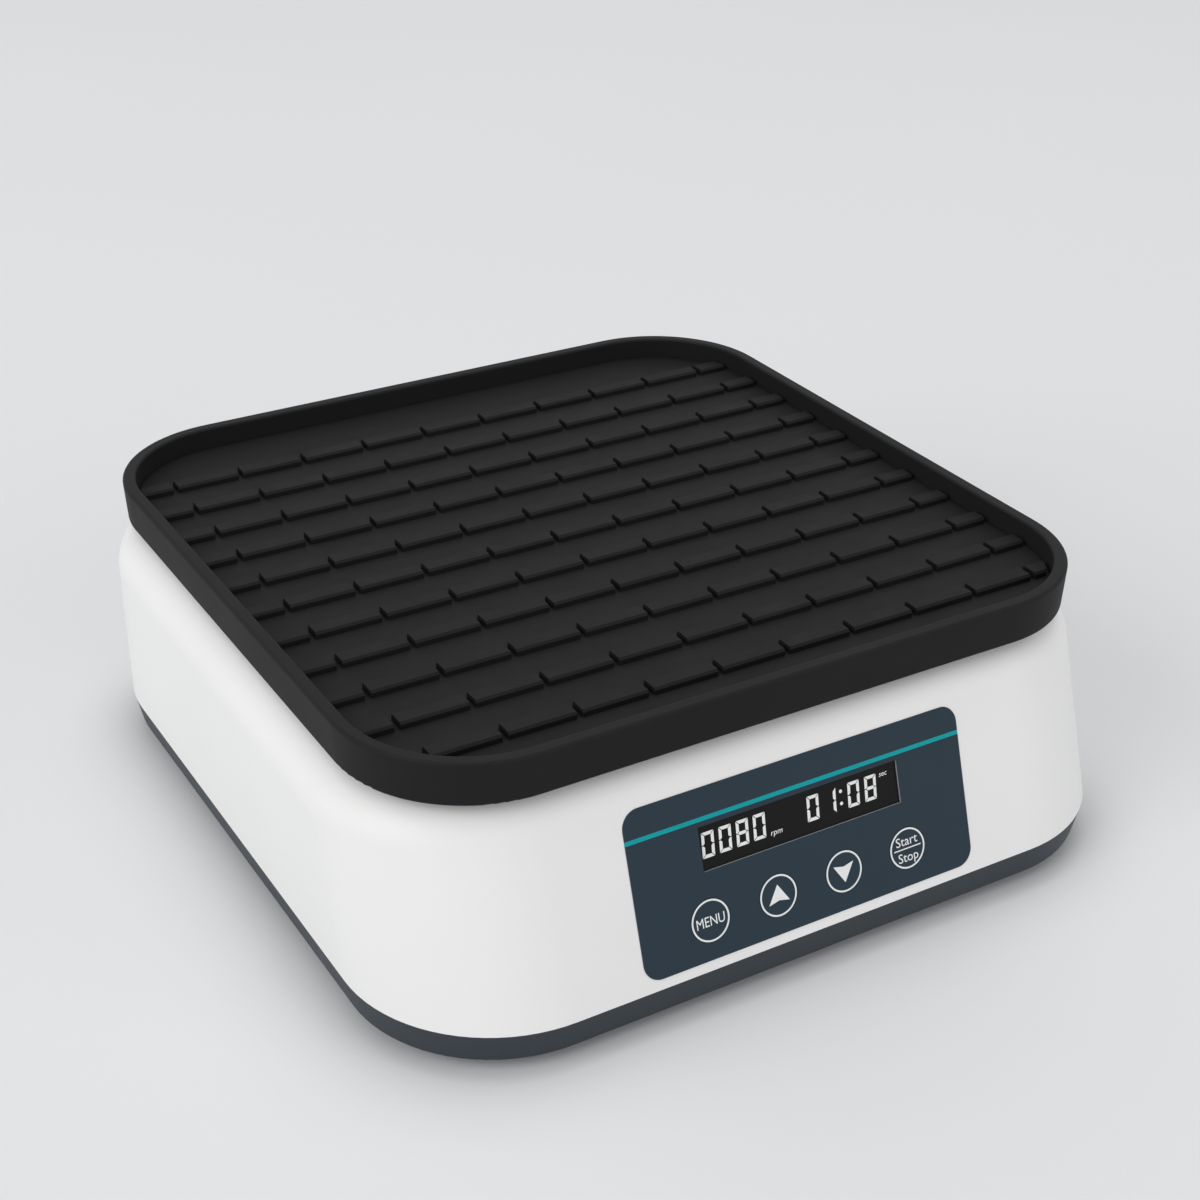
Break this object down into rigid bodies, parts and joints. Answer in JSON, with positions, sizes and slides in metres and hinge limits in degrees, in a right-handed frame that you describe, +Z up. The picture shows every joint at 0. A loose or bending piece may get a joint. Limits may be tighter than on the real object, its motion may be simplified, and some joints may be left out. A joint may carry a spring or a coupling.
{
  "type": "orbital shaker",
  "caption": "Benchtop orbital shaker with a leaning control front, a display with round keys and a ribbed non-slip tray that circles on a crank and idler drive.",
  "frame": {"origin": "under the middle of the body, on the surface that the rubber feet stand on", "axes": "+Z up; -Y is the front with the control panel; +X to the right as seen from the front"},
  "size_m": [0.2926, 0.3022, 0.105],
  "materials": {
    "casing": "satin white",
    "band": "satin slate",
    "tray": "satin charcoal",
    "mat": "matt, dark",
    "feet": "matt, black",
    "overlay": "smooth printed film, dark slate",
    "window": "smooth, dark tint",
    "display": "dark",
    "key": "smooth printed film, dark slate",
    "steel": "plain",
    "screw": "zinc plated",
    "aluminium": "machined",
    "bearing": "ground",
    "belt": "matt, black",
    "motor": "satin dark grey",
    "board": "solder mask green",
    "component": "moulded black",
    "transformer": "taped, yellow",
    "brass": "plain",
    "fitting": "moulded black",
    "rocker": "moulded black",
    "lead": "flexible sheath, black"
  },
  "bodies": {
    "base": {"base_pan": "band", "casing": "casing", "casing_screws": "screw", "rubber_feet": "feet", "foot_screws": "screw", "chassis_plate": "steel", "bearing_housing": "aluminium", "main_bearings": "bearing", "idler_pedestals": "aluminium", "idler_bearings": "bearing", "chassis_screws": "screw", "motor_bracket": "steel", "motor": "motor", "motor_screws": "screw", "drive_belt": "belt", "control_board": "board", "board_components": "component", "board_screws": "screw", "lcd_module": "display", "display_window": "window", "control_overlay": "overlay", "key_switches": "component", "supply_board": "board", "supply_standoffs": "brass", "supply_screws": "screw", "supply_transformer": "transformer", "supply_components": "component", "power_inlet": "fitting", "inlet_pins": "brass", "inlet_screws": "screw", "switch_housing": "fitting", "control_lead": "lead", "motor_lead": "lead", "mains_leads": "lead"},
    "drive_crank": {"drive_shaft": "steel", "drive_pulley": "aluminium", "crank_arm": "steel", "crank_pin": "steel", "counterweight": "steel", "counterweight_screws": "screw"},
    "platform": {"carrier_plate": "aluminium", "carrier_main_bearing": "bearing", "carrier_idler_bearings": "bearing", "tray_posts": "aluminium", "post_screws": "screw", "tray": "tray", "mat": "mat"},
    "idler_1": {"idler_crank_1": "steel"},
    "idler_2": {"idler_crank_2": "steel"},
    "idler_3": {"idler_crank_3": "steel"},
    "idler_4": {"idler_crank_4": "steel"},
    "motor_rotor": {"motor_shaft": "steel", "motor_pulley": "aluminium"},
    "menu_key": {"key_menu": "key"},
    "up_key": {"key_up": "key"},
    "down_key": {"key_down": "key"},
    "start_stop_key": {"key_start_stop": "key"},
    "rocker_lever": {"rocker": "rocker"}
  },
  "joints": [
    {"name": "crank_spin", "type": "hinge", "parent": "base", "child": "drive_crank", "pos_m": [0, 0.0138, 0.04], "axis": [0, 0, 1], "continuous": true},
    {"name": "platform_turn", "type": "hinge", "parent": "drive_crank", "child": "platform", "pos_m": [0, 0.0088, 0.07], "axis": [0, 0, 1], "continuous": true},
    {"name": "idler_1_spin", "type": "hinge", "parent": "base", "child": "idler_1", "pos_m": [-0.085, -0.0542, 0.04], "axis": [0, 0, 1], "continuous": true},
    {"name": "idler_2_spin", "type": "hinge", "parent": "base", "child": "idler_2", "pos_m": [0.085, -0.0542, 0.04], "axis": [0, 0, 1], "continuous": true},
    {"name": "idler_3_spin", "type": "hinge", "parent": "base", "child": "idler_3", "pos_m": [0.085, 0.0818, 0.04], "axis": [0, 0, 1], "continuous": true},
    {"name": "idler_4_spin", "type": "hinge", "parent": "base", "child": "idler_4", "pos_m": [-0.085, 0.0818, 0.04], "axis": [0, 0, 1], "continuous": true},
    {"name": "motor_spin", "type": "hinge", "parent": "base", "child": "motor_rotor", "pos_m": [0, 0.0858, 0.04], "axis": [0, 0, 1], "continuous": true},
    {"name": "menu_press", "type": "slide", "parent": "base", "child": "menu_key", "axis": [0, 0.9519, -0.3065], "range_m": [0, 0.0004], "stiffness_N_per_m": 1500},
    {"name": "up_press", "type": "slide", "parent": "base", "child": "up_key", "axis": [0, 0.9519, -0.3065], "range_m": [0, 0.0004], "stiffness_N_per_m": 1500},
    {"name": "down_press", "type": "slide", "parent": "base", "child": "down_key", "axis": [0, 0.9519, -0.3065], "range_m": [0, 0.0004], "stiffness_N_per_m": 1500},
    {"name": "start_stop_press", "type": "slide", "parent": "base", "child": "start_stop_key", "axis": [0, 0.9519, -0.3065], "range_m": [0, 0.0004], "stiffness_N_per_m": 1500},
    {"name": "rocker_tilt", "type": "hinge", "parent": "base", "child": "rocker_lever", "pos_m": [-0.084, 0.1446, 0.04], "axis": [1, 0, 0], "range_deg": [0, 16]}
  ],
  "couplings": [
    {"joint": "platform_turn", "follows": "crank_spin", "ratio": -1},
    {"joint": "idler_1_spin", "follows": "crank_spin", "ratio": 1},
    {"joint": "idler_2_spin", "follows": "crank_spin", "ratio": 1},
    {"joint": "idler_3_spin", "follows": "crank_spin", "ratio": 1},
    {"joint": "idler_4_spin", "follows": "crank_spin", "ratio": 1},
    {"joint": "motor_spin", "follows": "crank_spin", "ratio": 3.6}
  ]
}
